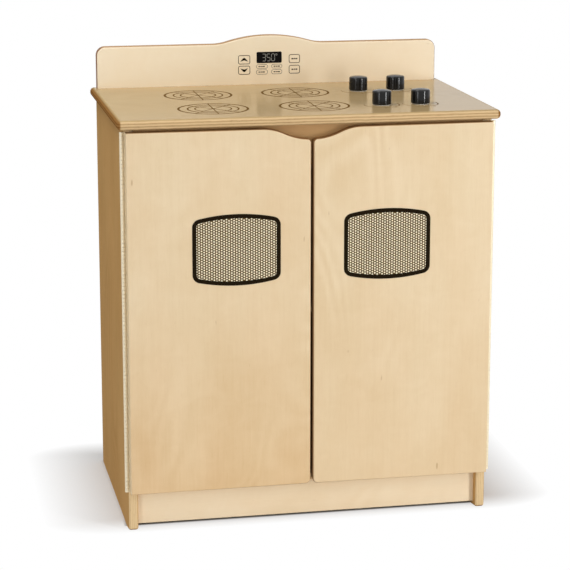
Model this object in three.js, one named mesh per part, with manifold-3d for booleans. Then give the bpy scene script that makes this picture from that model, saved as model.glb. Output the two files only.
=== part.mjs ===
// Wooden play-kitchen stove: a plywood cabinet with two doors on strip hinges, a
// cooktop with four turning knobs and four printed burners, and a crested backsplash.
// Millimetres, +Z up. The origin is on the floor under the middle of the cooktop;
// the doors face -Y and +X is to the viewer's right.
import * as THREE from 'three';
import { mergeVertices } from 'three/addons/utils/BufferGeometryUtils.js';
import Module from 'manifold-3d';

const wasm = await Module();
wasm.setup();

// Cooktop
const cooktopWidth = 610;
const cooktopDepth = 381;
const cooktopThickness = 15;
const cooktopHeight = 664;
const cooktopEdgeRound = 5;
const cooktopCornerRadius = 8;

// Backsplash
const backsplashThickness = 16;
const shoulderHeight = 70;
const crestRise = 14;
const crestRadius = 250;
const crestFilletRadius = 90;
const backsplashCornerRadius = 15;
const backsplashEdgeRound = 3;

// Cabinet boards
const cabinetWidth = 590;
const sideThickness = 16;
const sideEdgeRound = 4;
const footCornerRadius = 5;
const panelThickness = 12;
const panelSetback = 1;
const panelEdgeRound = 3;
const shelfHeight = 345;
const dadoDepth = 6;
const dadoPlay = 0.3;
const backThickness = 6;
const rabbetDepth = 8;
const toeKickThickness = 16;
const toeKickRecess = 12;
const toeKickFloorGap = 7;
const railThickness = 16;
const railHeight = 65;

// Doors
const doorThickness = 16;
const doorBottomHeight = 65.5;
const doorTopGap = 4;
const doorMeetingGap = 4;
const doorInset = 3;
const doorEdgeRound = 3;
const doorInnerTopRadius = 6.5;
const doorInnerBottomRadius = 8;
const scoopDepth = 18;
const scoopRadius = 105;
const scoopFilletRadius = 80;
const noseLead = 1;

// Strip hinges
const hingeGap = 2;
const leafThickness = 0.8;
const leafWidth = 14;
const knuckleRadius = 3.2;
const knucklePitch = 21.5;
const knuckleGap = 0.3;
const knuckleOutset = 1.8;
const pinRadius = 1.2;
const pinPlay = 0.3;

// Magnetic catches
const catchLength = 46;
const catchDepth = 14;
const catchEarThickness = 2.5;
const catchBlockLength = 26;
const catchBlockHeight = 13;
const catchOffset = 62;
const magnetLength = 20;
const magnetHeight = 7;
const magnetDepth = 10;
const magnetPlay = 0.3;
const catchGap = 0.3;
const strikeLength = 30;
const strikeHeight = 13;
const strikeThickness = 1;
const strikeCornerRadius = 3;

// Knobs
const knobDiameter = 31;
const knobHeight = 24;
const knobTopRound = 3;
const knobDomeRise = 0.8;
const knobFootChamfer = 1;
const knobColumnSpacing = 64;
const knobCentreX = 164;
const knobFrontMargin = 90;
const knobBackMargin = 111;
const glideDiameter = 28;
const glideThickness = 0.8;

// Screws and washers
const knobScrewDiameter = 4;
const knobScrewDepth = 16;
const washerDiameter = 14;
const washerThickness = 1.2;
const woodScrewDiameter = 3;
const woodScrewLength = 14;
const strikeScrewDiameter = 2.5;
const strikeScrewLength = 11;
const backsplashScrewDiameter = 4;
const backsplashScrewLength = 42;
const backsplashScrewMargin = 65;
const headWidthRatio = 2;
const headHeightRatio = 0.6;
const holePlay = 0.4;

// Dowels between the side panels and the cooktop
const dowelDiameter = 8;
const dowelLength = 28;
const dowelInCooktop = 9;
const dowelSetback = 50;
const dowelPlay = 0.3;

// Printed graphics
const printThickness = 0.3;
const burnerLineWidth = 2.4;
const burnerInnerShare = 0.614;
const burnerLeftX = -140;
const burnerColumnSpacing = 164;
const burnerFrontMargin = 44;
const burnerRowGap = 39;
const burnerBackMargin = 54;
const windowWidth = 140;
const windowSideHeight = 98;
const windowBulge = 8;
const windowCornerRadius = 13;
const windowBand = 6.5;
const windowBandLift = 0.2;
const windowCentreShare = 0.41;
const windowCentreZ = 456;

// Modelling allowances
const cutOverrun = 2;
const seatGap = 0.3;
const arcStep = Math.PI / 10;
const crestSteps = 18;
const scoopSteps = 10;
const bevelSteps = 3;
const barrelSides = 8;
const pinSides = 6;
const knobSides = 24;
const knobRoundSteps = 3;
const screwSides = 8;
const holeSides = 12;
const burnerSides = 20;
const windowArcShares = [-0.6, -0.3, 0, 0.3, 0.6];

// Places worked out from the sizes above
const frontY = -cooktopDepth / 2;
const backY = cooktopDepth / 2;
const doorFaceY = frontY + noseLead;
const doorBackY = doorFaceY + doorThickness;
const sideFrontY = doorBackY + hingeGap;
const undersideZ = cooktopHeight - cooktopThickness;
const halfWidth = cabinetWidth / 2;
const innerHalf = halfWidth - sideThickness;
const backPanelFrontY = backY - backThickness;
const doorTopZ = undersideZ - doorTopGap;
const floorBottomZ = doorBottomHeight;
const railBottomZ = undersideZ - railHeight;
const backsplashFrontY = backY - backsplashThickness;
const hingeAxisX = halfWidth + knuckleOutset;
const hingeAxisY = sideFrontY - hingeGap / 2;
const leafInnerX = hingeAxisX - knuckleRadius - knuckleGap - leafWidth;
const leafOuterX = hingeAxisX - knuckleRadius - knuckleGap;
const hingeLength = doorTopZ - doorBottomHeight;
const knuckleCount = Math.round(hingeLength / knucklePitch);
const catchZ = railBottomZ;
const magnetZ = catchZ - (catchEarThickness + catchBlockHeight) / 2;
const strikeFaceY = doorBackY + strikeThickness;
const magnetFrontY = strikeFaceY + catchGap;
const catchFrontY = sideFrontY;
const catchBackY = catchFrontY + catchDepth;
const catchScrewOffset = (catchLength + catchBlockLength) / 4;
const catchScrewHeadZ = catchZ - catchEarThickness - woodScrewDiameter * headHeightRatio - seatGap;
const backsplashScrewY = backsplashFrontY + backsplashThickness / 2;
const backsplashScrewZ = undersideZ + seatGap;
const backsplashScrewReach = halfWidth - backsplashScrewMargin;
const burnerFieldDepth = backsplashFrontY - frontY - burnerFrontMargin - burnerBackMargin;
const burnerDiameter = (burnerFieldDepth - burnerRowGap) / 2;
const burnerRowYs = [
  frontY + burnerFrontMargin + burnerDiameter / 2,
  backsplashFrontY - burnerBackMargin - burnerDiameter / 2,
];
const knobRowYs = [frontY + knobFrontMargin, backsplashFrontY - knobBackMargin];
const doorInnerX = doorMeetingGap / 2;
const doorOuterX = halfWidth - doorInset;
const windowCentreX = doorInnerX + windowCentreShare * (doorOuterX - doorInnerX);
const sideCentreX = innerHalf + sideThickness / 2;
const dowelTopZ = undersideZ + dowelInCooktop;

// Materials
function finish(color, roughness, metalness = 0) {
  return new THREE.MeshStandardMaterial({ color, roughness, metalness, flatShading: true });
}
const birch = finish(0xe8d2ac, 0.45);
const cooktopLacquer = finish(0xcbb083, 0.12);
const backPly = finish(0xd9bf92, 0.6);
const blackPlastic = finish(0x161413, 0.3);
const nylon = finish(0xe9e4d8, 0.5);
const hingeSteel = finish(0xd8cdb8, 0.35, 0.9);
const zincSteel = finish(0xb9b9b4, 0.4, 0.9);
const brownPlastic = finish(0x6b4a2c, 0.5);
const magnetBlack = finish(0x2b2b2d, 0.5, 0.3);
const dowelBeech = finish(0xd9b98a, 0.7);
const printBrown = finish(0x6f5a3c, 0.5);
const windowPrint = finish(0x2a261e, 0.4);

// A closed three.js geometry as a solid that can be cut and joined
function toSolid(geometry) {
  const bare = geometry.clone();
  bare.deleteAttribute('normal');
  bare.deleteAttribute('uv');
  const merged = mergeVertices(bare);
  return new wasm.Manifold(new wasm.Mesh({
    numProp: 3,
    vertProperties: new Float32Array(merged.attributes.position.array),
    triVerts: new Uint32Array(merged.index.array),
  }));
}

function toGeometry(solid) {
  const result = solid.getMesh();
  const geometry = new THREE.BufferGeometry();
  geometry.setAttribute('position', new THREE.BufferAttribute(result.vertProperties, 3));
  geometry.setIndex(new THREE.BufferAttribute(result.triVerts, 1));
  geometry.computeVertexNormals();
  return geometry;
}

// A rectangular board between two values along each axis
function board([x0, x1], [y0, y1], [z0, z1]) {
  const geometry = new THREE.BoxGeometry(x1 - x0, y1 - y0, z1 - z0);
  return geometry.translate((x0 + x1) / 2, (y0 + y1) / 2, (z0 + z1) / 2);
}

// A closed outline through corners given as [across, up, radius]. Each rounded corner is
// a run of points on its arc, tangent to both sides.
function roundedOutline(corners) {
  const points = [];
  corners.forEach(([x, y, radius = 0], index) => {
    const corner = new THREE.Vector2(x, y);
    if (radius === 0) {
      points.push(corner);
      return;
    }
    const before = corners[(index + corners.length - 1) % corners.length];
    const after = corners[(index + 1) % corners.length];
    const toBefore = new THREE.Vector2(before[0] - x, before[1] - y).normalize();
    const toAfter = new THREE.Vector2(after[0] - x, after[1] - y).normalize();
    const halfAngle = Math.acos(toBefore.dot(toAfter)) / 2;
    const middle = toBefore.clone().add(toAfter).normalize();
    const centre = corner.clone().addScaledVector(middle, radius / Math.sin(halfAngle));
    const start = corner.clone().addScaledVector(toBefore, radius / Math.tan(halfAngle));
    const end = corner.clone().addScaledVector(toAfter, radius / Math.tan(halfAngle));
    const from = start.sub(centre);
    const sweep = Math.atan2(from.cross(end.clone().sub(centre)), from.dot(end.clone().sub(centre)));
    const steps = Math.max(2, Math.round(Math.abs(sweep) / arcStep));
    for (let step = 0; step <= steps; step += 1) {
      const turned = from.clone().rotateAround(new THREE.Vector2(), (sweep * step) / steps);
      points.push(centre.clone().add(turned));
    }
  });
  return new THREE.Shape(points);
}

// An outline as a slab from 0 to its thickness along local Z, its long edges rounded
function slab(shape, thickness, edgeRound = 0) {
  const geometry = new THREE.ExtrudeGeometry(shape, {
    depth: thickness - 2 * edgeRound,
    bevelEnabled: edgeRound > 0,
    bevelThickness: edgeRound,
    bevelSize: edgeRound,
    bevelOffset: -edgeRound,
    bevelSegments: bevelSteps,
    steps: 1,
  });
  return geometry.translate(0, 0, edgeRound);
}

// An outline drawn in X and Z, standing between two values of Y
function slabAlongY(shape, [y0, y1], edgeRound = 0) {
  return slab(shape, y1 - y0, edgeRound).rotateX(Math.PI / 2).translate(0, y1, 0);
}

// An outline drawn in Y and Z, carried between two values of X
function slabAlongX(shape, [x0, x1], edgeRound = 0) {
  return slab(shape, x1 - x0, edgeRound).rotateX(Math.PI / 2).rotateZ(Math.PI / 2).translate(x0, 0, 0);
}

// An outline drawn in X and Y, carried between two values of Z
function slabAlongZ(shape, [z0, z1], edgeRound = 0) {
  return slab(shape, z1 - z0, edgeRound).translate(0, 0, z0);
}

// A round bar along Z, between two heights
function barZ(radius, sides, x, y, [z0, z1]) {
  const geometry = new THREE.CylinderGeometry(radius, radius, z1 - z0, sides);
  return geometry.rotateX(Math.PI / 2).translate(x, y, (z0 + z1) / 2);
}

// The height of an S-shaped rise at a distance from its middle: an arc over the middle,
// run out level by a fillet at each side
function riseHeight(across, { rise, radius, filletRadius }) {
  const reach = riseReach({ rise, radius, filletRadius });
  const turn = (reach * radius) / (radius + filletRadius);
  const distance = Math.abs(across);
  if (distance <= turn) {
    return rise - radius + Math.sqrt(radius ** 2 - distance ** 2);
  }
  return filletRadius - Math.sqrt(filletRadius ** 2 - (reach - distance) ** 2);
}

function riseReach({ rise, radius, filletRadius }) {
  return Math.sqrt(2 * (radius + filletRadius) * rise - rise ** 2);
}

// A profile of [radius, height] points turned round the Z axis
function turned(profile, sides) {
  const points = profile.map(([radius, z]) => new THREE.Vector2(radius, z));
  return new THREE.LatheGeometry(points, sides).rotateX(Math.PI / 2);
}

// A screw with its head's outer face at zero and its shank along +Z, its head either
// countersunk or straight-sided
function screwGeometry(diameter, length, countersunk) {
  const radius = diameter / 2;
  const headRadius = radius * headWidthRatio;
  const headHeight = diameter * headHeightRatio;
  const profile = [[0, 0], [headRadius, 0]];
  if (!countersunk) {
    profile.push([headRadius, headHeight]);
  }
  profile.push([radius, headHeight], [radius, length - radius], [0, length]);
  return turned(profile, screwSides);
}

// The space that a countersunk screw needs, with play all round, open behind its head
function countersunkHole(diameter, length) {
  const radius = diameter / 2 + holePlay;
  const headRadius = (diameter * headWidthRatio) / 2 + holePlay;
  return turned([
    [0, -cutOverrun],
    [headRadius, -cutOverrun],
    [headRadius, 0],
    [radius, diameter * headHeightRatio],
    [radius, length + holePlay],
    [0, length + holePlay],
  ], holeSides);
}

const stove = new THREE.Group();

function addPiece(name, geometry, material, parent = stove) {
  const mesh = new THREE.Mesh(geometry, material);
  mesh.name = name;
  parent.add(mesh);
  return mesh;
}

// The four knob places: each column and row round the knob field's middle
const knobPlaces = [];
for (const [row, y] of [['front', knobRowYs[0]], ['back', knobRowYs[1]]]) {
  for (const [column, columnSign] of [['left', -1], ['right', 1]]) {
    knobPlaces.push({
      name: `${row}_${column}`,
      x: knobCentreX + (columnSign * knobColumnSpacing) / 2,
      y,
    });
  }
}

const backsplashScrewXs = [-1, 0, 1].map((index) => index * backsplashScrewReach);
const dowelYs = [sideFrontY + dowelSetback, backPanelFrontY - dowelSetback];

function catchScrewPlaces(side) {
  return [-1, 1].map((end) => ({
    x: side * catchOffset + end * catchScrewOffset,
    y: catchFrontY + catchDepth / 2,
    headZ: catchScrewHeadZ,
  }));
}

// A side panel: its plan section has rounded front corners and a rabbet for the back
// panel, and its lower front corner is rounded where it serves as a foot. Two dadoes
// take the floor panel and the shelf, and two bores in its top edge take dowels.
function makeSidePanel(name, side) {
  const section = roundedOutline([
    [side * innerHalf, sideFrontY, sideEdgeRound],
    [side * halfWidth, sideFrontY, sideEdgeRound],
    [side * halfWidth, backY],
    [side * (innerHalf + rabbetDepth), backY],
    [side * (innerHalf + rabbetDepth), backPanelFrontY],
    [side * innerHalf, backPanelFrontY],
  ]);
  let panel = toSolid(slabAlongZ(section, [0, undersideZ]));

  const profile = roundedOutline([
    [sideFrontY, 0, footCornerRadius],
    [sideFrontY, undersideZ + cutOverrun],
    [backY + cutOverrun, undersideZ + cutOverrun],
    [backY + cutOverrun, 0],
  ]);
  panel = panel.intersect(toSolid(slabAlongX(profile, [
    side * sideCentreX - sideThickness,
    side * sideCentreX + sideThickness,
  ])));

  const grooveX = [side * (innerHalf - cutOverrun), side * (innerHalf + dadoDepth)].sort((a, b) => a - b);
  for (const bottomZ of [floorBottomZ, shelfHeight]) {
    const groove = board(
      grooveX,
      [sideFrontY + panelSetback, backPanelFrontY + dadoPlay],
      [bottomZ - dadoPlay, bottomZ + panelThickness + dadoPlay],
    );
    panel = panel.subtract(toSolid(groove));
  }
  for (const y of dowelYs) {
    const boreBottomZ = dowelTopZ - dowelLength - dowelPlay;
    const bore = barZ(dowelDiameter / 2 + dowelPlay, holeSides, side * sideCentreX, y,
      [boreBottomZ, undersideZ + cutOverrun]);
    panel = panel.subtract(toSolid(bore));
  }
  addPiece(name, toGeometry(panel), birch);
}

// A floor or shelf panel that runs into the side panels' dadoes, its front edge rounded
function makeInsidePanel(name, bottomZ) {
  const reach = innerHalf + dadoDepth - dadoPlay;
  const section = roundedOutline([
    [sideFrontY + panelSetback + dadoPlay, bottomZ, panelEdgeRound],
    [backPanelFrontY, bottomZ],
    [backPanelFrontY, bottomZ + panelThickness],
    [sideFrontY + panelSetback + dadoPlay, bottomZ + panelThickness, panelEdgeRound],
  ]);
  addPiece(name, slabAlongX(section, [-reach, reach]), birch);
}

function makeCarcass() {
  makeSidePanel('left_side_panel', -1);
  makeSidePanel('right_side_panel', 1);
  makeInsidePanel('floor_panel', floorBottomZ);
  makeInsidePanel('shelf', shelfHeight);

  const backReach = innerHalf + rabbetDepth - dadoPlay;
  addPiece('back_panel', board([-backReach, backReach], [backPanelFrontY + dadoPlay, backY],
    [toeKickFloorGap, undersideZ]), backPly);

  const toeKickFrontY = sideFrontY + toeKickRecess;
  addPiece('toe_kick', board([-innerHalf, innerHalf],
    [toeKickFrontY, toeKickFrontY + toeKickThickness], [toeKickFloorGap, floorBottomZ]), birch);

  addPiece('back_rail', board([-innerHalf, innerHalf],
    [backPanelFrontY - railThickness, backPanelFrontY], [railBottomZ, undersideZ]), birch);
}

// The front rail, with pilot holes in its lower edge for the catch screws
function makeFrontRail(catchScrews) {
  let rail = toSolid(board([-innerHalf, innerHalf],
    [sideFrontY, sideFrontY + railThickness], [railBottomZ, undersideZ]));
  for (const { x, y, headZ } of catchScrews) {
    const hole = barZ(woodScrewDiameter / 2 + holePlay, holeSides, x, y,
      [railBottomZ - cutOverrun, headZ + woodScrewLength + holePlay]);
    rail = rail.subtract(toSolid(hole));
  }
  addPiece('front_rail', toGeometry(rail), birch);
}

// The cooktop: rounded nose on the front and sides, its back cut flush, with the knob
// screws' holes, the dowels' blind bores and the backsplash screws' countersunk holes
function makeCooktop() {
  const halfTop = cooktopWidth / 2;
  const outline = roundedOutline([
    [-halfTop, frontY, cooktopCornerRadius],
    [halfTop, frontY, cooktopCornerRadius],
    [halfTop, backY + cooktopEdgeRound + cutOverrun],
    [-halfTop, backY + cooktopEdgeRound + cutOverrun],
  ]);
  let top = toSolid(slabAlongZ(outline, [undersideZ, cooktopHeight], cooktopEdgeRound));
  top = top.subtract(toSolid(board(
    [-halfTop - cutOverrun, halfTop + cutOverrun],
    [backY, backY + cooktopEdgeRound + 2 * cutOverrun],
    [undersideZ - cutOverrun, cooktopHeight + cutOverrun],
  )));
  const throughZ = [undersideZ - cutOverrun, cooktopHeight + cutOverrun];
  for (const { x, y } of knobPlaces) {
    top = top.subtract(toSolid(barZ(knobScrewDiameter / 2 + holePlay, holeSides, x, y, throughZ)));
  }
  for (const x of backsplashScrewXs) {
    top = top.subtract(toSolid(backsplashScrewHole(x)));
  }
  for (const side of [-1, 1]) {
    for (const y of dowelYs) {
      top = top.subtract(toSolid(barZ(dowelDiameter / 2 + dowelPlay, holeSides,
        side * sideCentreX, y, [undersideZ - cutOverrun, dowelTopZ + dowelPlay])));
    }
  }
  addPiece('cooktop', toGeometry(top), cooktopLacquer);
}

function backsplashScrewHole(x) {
  return countersunkHole(backsplashScrewDiameter, backsplashScrewLength)
    .translate(x, backsplashScrewY, backsplashScrewZ);
}

// The backsplash: rounded top corners, a crest over its middle, and a flat foot
function makeBacksplash() {
  const crest = { rise: crestRise, radius: crestRadius, filletRadius: crestFilletRadius };
  const reach = riseReach(crest);
  const shoulderZ = cooktopHeight + shoulderHeight;
  const footZ = cooktopHeight - backsplashEdgeRound - cutOverrun;
  const corners = [
    [-halfWidth, footZ],
    [halfWidth, footZ],
    [halfWidth, shoulderZ, backsplashCornerRadius],
  ];
  for (let step = 0; step <= crestSteps; step += 1) {
    const across = reach - (2 * reach * step) / crestSteps;
    corners.push([across, shoulderZ + riseHeight(across, crest)]);
  }
  corners.push([-halfWidth, shoulderZ, backsplashCornerRadius]);
  let body = toSolid(slabAlongY(roundedOutline(corners), [backsplashFrontY, backY], backsplashEdgeRound));
  body = body.subtract(toSolid(board(
    [-halfWidth - cutOverrun, halfWidth + cutOverrun],
    [backsplashFrontY - cutOverrun, backY + cutOverrun],
    [footZ - 2 * cutOverrun, cooktopHeight],
  )));
  for (const x of backsplashScrewXs) {
    body = body.subtract(toSolid(backsplashScrewHole(x)));
  }
  addPiece('backsplash', toGeometry(body), birch);

  backsplashScrewXs.forEach((x, index) => {
    const screw = screwGeometry(backsplashScrewDiameter, backsplashScrewLength, true);
    const mesh = addPiece(`backsplash_screw_${index + 1}`, screw, zincSteel);
    mesh.position.set(x, backsplashScrewY, backsplashScrewZ);
  });
}

function makeDowels() {
  for (const [sideName, side] of [['left', -1], ['right', 1]]) {
    for (const [rowName, y] of [['front', dowelYs[0]], ['back', dowelYs[1]]]) {
      addPiece(`${sideName}_${rowName}_dowel`, barZ(dowelDiameter / 2, holeSides,
        side * sideCentreX, y, [dowelTopZ - dowelLength, dowelTopZ]), dowelBeech);
    }
  }
}

// The strike screw runs from the strike plate's face forwards into the door
function strikeScrewHole(side) {
  return countersunkHole(strikeScrewDiameter, strikeScrewLength)
    .rotateX(Math.PI / 2).translate(side * catchOffset, strikeFaceY, magnetZ);
}

// A door: square corners at the hinge, rounded ones at the meeting edge, and half of the
// finger scoop in its top edge
function makeDoor(name, side) {
  const scoop = { rise: scoopDepth, radius: scoopRadius, filletRadius: scoopFilletRadius };
  const reach = riseReach(scoop);
  const scoopEndX = doorInnerX + 2 * doorInnerTopRadius;
  const corners = [
    [side * doorOuterX, doorTopZ],
    [side * doorOuterX, doorBottomHeight],
    [side * doorInnerX, doorBottomHeight, doorInnerBottomRadius],
    [side * doorInnerX, doorTopZ - riseHeight(doorInnerX, scoop), doorInnerTopRadius],
  ];
  for (let step = 0; step <= scoopSteps; step += 1) {
    const across = scoopEndX + ((reach - scoopEndX) * step) / scoopSteps;
    corners.push([side * across, doorTopZ - riseHeight(across, scoop)]);
  }
  let door = toSolid(slabAlongY(roundedOutline(corners), [doorFaceY, doorBackY], doorEdgeRound));
  door = door.subtract(toSolid(strikeScrewHole(side)));
  addPiece(name, toGeometry(door), birch);
}

// One knuckle of a strip hinge: a bored barrel round the axis, with the tab that joins it
// to its leaf. The tab lies on the leaf's own side of the axis.
function makeKnuckle(side, leafY, [z0, z1]) {
  const axisX = side * hingeAxisX;
  const barrel = toSolid(barZ(knuckleRadius, barrelSides, axisX, hingeAxisY, [z0, z1]));
  const bore = toSolid(barZ(pinRadius + pinPlay, pinSides, axisX, hingeAxisY,
    [z0 - cutOverrun, z1 + cutOverrun]));
  const tabX = [side * (leafOuterX - leafThickness), side * (hingeAxisX - pinRadius - 2 * pinPlay)];
  const tab = board(tabX.sort((a, b) => a - b), leafY, [z0, z1]);
  return barrel.add(toSolid(tab)).subtract(bore);
}

// A strip hinge: the frame leaf on the side panel's front edge takes the even knuckles,
// the door leaf on the door's back takes the odd ones, and one pin runs through them all
function makeHinge(prefix, side) {
  const pitch = hingeLength / knuckleCount;
  const leaves = [
    { name: `${prefix}_hinge_frame_leaf`, leafY: [sideFrontY - leafThickness, sideFrontY], first: 0 },
    { name: `${prefix}_hinge_door_leaf`, leafY: [doorBackY, doorBackY + leafThickness], first: 1 },
  ];
  for (const { name, leafY, first } of leaves) {
    const plateX = [side * leafInnerX, side * leafOuterX].sort((a, b) => a - b);
    let leaf = toSolid(board(plateX, leafY, [doorBottomHeight, doorTopZ]));
    for (let index = first; index < knuckleCount; index += 2) {
      const z0 = doorBottomHeight + index * pitch;
      const ends = [
        index === 0 ? z0 : z0 + knuckleGap / 2,
        index === knuckleCount - 1 ? z0 + pitch : z0 + pitch - knuckleGap / 2,
      ];
      leaf = leaf.add(makeKnuckle(side, leafY, ends));
    }
    addPiece(name, toGeometry(leaf), hingeSteel);
  }
  addPiece(`${prefix}_hinge_pin`, barZ(pinRadius, pinSides, side * hingeAxisX, hingeAxisY,
    [doorBottomHeight, doorTopZ]), zincSteel);
}

// A magnetic catch under the front rail: a plastic housing with two screwed ears and a
// block that holds the magnet in a pocket open to the front
function makeCatch(prefix, side) {
  const centreX = side * catchOffset;
  let housing = toSolid(board([centreX - catchLength / 2, centreX + catchLength / 2],
    [catchFrontY, catchBackY], [catchZ - catchEarThickness, catchZ]));
  housing = housing.add(toSolid(board(
    [centreX - catchBlockLength / 2, centreX + catchBlockLength / 2],
    [catchFrontY, catchBackY],
    [catchZ - catchBlockHeight, catchZ - catchEarThickness / 2],
  )));
  housing = housing.subtract(toSolid(board(
    [centreX - magnetLength / 2 - magnetPlay, centreX + magnetLength / 2 + magnetPlay],
    [catchFrontY - cutOverrun, magnetFrontY + magnetDepth + magnetPlay],
    [magnetZ - magnetHeight / 2 - magnetPlay, magnetZ + magnetHeight / 2 + magnetPlay],
  )));
  for (const { x, y } of catchScrewPlaces(side)) {
    housing = housing.subtract(toSolid(barZ(woodScrewDiameter / 2 + holePlay, holeSides, x, y,
      [catchZ - catchBlockHeight - cutOverrun, catchZ + cutOverrun])));
  }
  addPiece(`${prefix}_catch_housing`, toGeometry(housing), brownPlastic);
  addPiece(`${prefix}_catch_magnet`, board(
    [centreX - magnetLength / 2, centreX + magnetLength / 2],
    [magnetFrontY, magnetFrontY + magnetDepth],
    [magnetZ - magnetHeight / 2, magnetZ + magnetHeight / 2],
  ), magnetBlack);

  catchScrewPlaces(side).forEach(({ x, y, headZ }, index) => {
    const screw = screwGeometry(woodScrewDiameter, woodScrewLength, false);
    const mesh = addPiece(`${prefix}_catch_screw_${index + 1}`, screw, zincSteel);
    mesh.position.set(x, y, headZ);
  });

  const halfLength = strikeLength / 2;
  const halfHeight = strikeHeight / 2;
  const outline = roundedOutline([
    [centreX - halfLength, magnetZ - halfHeight, strikeCornerRadius],
    [centreX + halfLength, magnetZ - halfHeight, strikeCornerRadius],
    [centreX + halfLength, magnetZ + halfHeight, strikeCornerRadius],
    [centreX - halfLength, magnetZ + halfHeight, strikeCornerRadius],
  ]);
  const strike = toSolid(slabAlongY(outline, [doorBackY, strikeFaceY]));
  addPiece(`${prefix}_strike_plate`, toGeometry(strike.subtract(toSolid(strikeScrewHole(side)))), zincSteel);
  const strikeScrew = addPiece(`${prefix}_strike_screw`,
    screwGeometry(strikeScrewDiameter, strikeScrewLength, true), zincSteel);
  strikeScrew.rotation.x = Math.PI / 2;
  strikeScrew.position.set(centreX, strikeFaceY, magnetZ);
}

// A knob on its screw: the screw comes up through a washer and the cooktop into the
// knob's blind bore, and a thin nylon glide lies under the knob
function makeKnob({ name, x, y }) {
  const footZ = cooktopHeight + glideThickness + 2 * seatGap;
  const radius = knobDiameter / 2;
  const boreRadius = knobScrewDiameter / 2 + holePlay;
  const boreTop = knobScrewDepth + holePlay;
  const topEdgeZ = knobHeight - knobDomeRise;
  const profile = [
    [0, boreTop],
    [boreRadius, boreTop],
    [boreRadius, 0],
    [radius - knobFootChamfer, 0],
    [radius, knobFootChamfer],
  ];
  for (let step = 0; step <= knobRoundSteps; step += 1) {
    const angle = (Math.PI / 2) * (step / knobRoundSteps);
    profile.push([
      radius - knobTopRound + knobTopRound * Math.cos(angle),
      topEdgeZ - knobTopRound + knobTopRound * Math.sin(angle),
    ]);
  }
  profile.push([0, knobHeight]);
  const knob = addPiece(`${name}_knob`, turned(profile, knobSides), blackPlastic);
  knob.position.set(x, y, footZ);

  const glideBore = toSolid(barZ(boreRadius, holeSides, x, y,
    [cooktopHeight - cutOverrun, cooktopHeight + glideThickness + cutOverrun]));
  const glide = toSolid(barZ(glideDiameter / 2, knobSides, x, y,
    [cooktopHeight + seatGap, cooktopHeight + seatGap + glideThickness])).subtract(glideBore);
  addPiece(`${name}_knob_glide`, toGeometry(glide), nylon);

  const washerTopZ = undersideZ - seatGap;
  const washerBore = toSolid(barZ(boreRadius, holeSides, x, y,
    [washerTopZ - washerThickness - cutOverrun, washerTopZ + cutOverrun]));
  const washer = toSolid(barZ(washerDiameter / 2, screwSides * 2, x, y,
    [washerTopZ - washerThickness, washerTopZ])).subtract(washerBore);
  addPiece(`${name}_knob_washer`, toGeometry(washer), zincSteel);

  const headHeight = knobScrewDiameter * headHeightRatio;
  const headFaceZ = washerTopZ - washerThickness - seatGap - headHeight;
  const screwLength = footZ + knobScrewDepth - headFaceZ;
  const screw = addPiece(`${name}_knob_screw`, screwGeometry(knobScrewDiameter, screwLength, false),
    zincSteel);
  screw.position.set(x, y, headFaceZ);
}

// A printed burner: two rings joined by a cross, lying on the cooktop
function makeBurnerPrint(name, x, y) {
  const z = [cooktopHeight, cooktopHeight + printThickness];
  const cutZ = [cooktopHeight - cutOverrun, cooktopHeight + printThickness + cutOverrun];
  const ring = (diameter) => toSolid(barZ(diameter / 2, burnerSides, x, y, z))
    .subtract(toSolid(barZ(diameter / 2 - burnerLineWidth, burnerSides, x, y, cutZ)));
  const reach = burnerDiameter / 2 - burnerLineWidth / 2;
  const bar = toSolid(new THREE.BoxGeometry(2 * reach, burnerLineWidth, printThickness));
  const lift = cooktopHeight + printThickness / 2;
  const crossed = [45, -45].map((angle) => bar.rotate([0, 0, angle]).translate([x, y, lift]));
  const rings = ring(burnerDiameter).add(ring(burnerDiameter * burnerInnerShare));
  const print = rings.add(crossed[0]).add(crossed[1]);
  addPiece(name, toGeometry(print), printBrown);
}

// An oven window printed on a door: bowed top and bottom edges, and a raised band round
// a shallower middle
function makeWindowPrint(name, side) {
  const outline = (inset) => {
    const halfWide = windowWidth / 2 - inset;
    const halfHigh = windowSideHeight / 2 - inset;
    const bow = windowArcShares.map((share) => [share * halfWide, windowBulge * (1 - share ** 2)]);
    const corners = [];
    for (const end of [-1, 1]) {
      corners.push([end * halfWide, end * halfHigh, windowCornerRadius - inset]);
      for (const [across, lift] of bow) {
        corners.push([-end * across, end * (halfHigh + lift)]);
      }
      corners.push([-end * halfWide, end * halfHigh, windowCornerRadius - inset]);
    }
    return roundedOutline(corners.map(([across, up, radius]) => [
      side * windowCentreX + across,
      windowCentreZ + up,
      radius,
    ]));
  };
  const bandFaceY = doorFaceY - printThickness - windowBandLift;
  const middleFaceY = doorFaceY - printThickness;
  const plate = toSolid(slabAlongY(outline(0), [bandFaceY, doorFaceY]));
  const pocket = toSolid(slabAlongY(outline(windowBand), [bandFaceY - cutOverrun, middleFaceY]));
  addPiece(name, toGeometry(plate.subtract(pocket)), windowPrint);
}

makeCarcass();
makeFrontRail([...catchScrewPlaces(-1), ...catchScrewPlaces(1)]);
makeCooktop();
makeBacksplash();
makeDowels();
for (const [prefix, side] of [['left', -1], ['right', 1]]) {
  makeDoor(`${prefix}_door`, side);
  makeHinge(prefix, side);
  makeCatch(prefix, side);
  makeWindowPrint(`${prefix}_window_print`, side);
}
knobPlaces.forEach(makeKnob);
for (const [row, y] of [['front', burnerRowYs[0]], ['back', burnerRowYs[1]]]) {
  for (const [column, columnIndex] of [['left', 0], ['right', 1]]) {
    makeBurnerPrint(`${row}_${column}_burner_print`, burnerLeftX + columnIndex * burnerColumnSpacing, y);
  }
}

export default stove;
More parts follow.
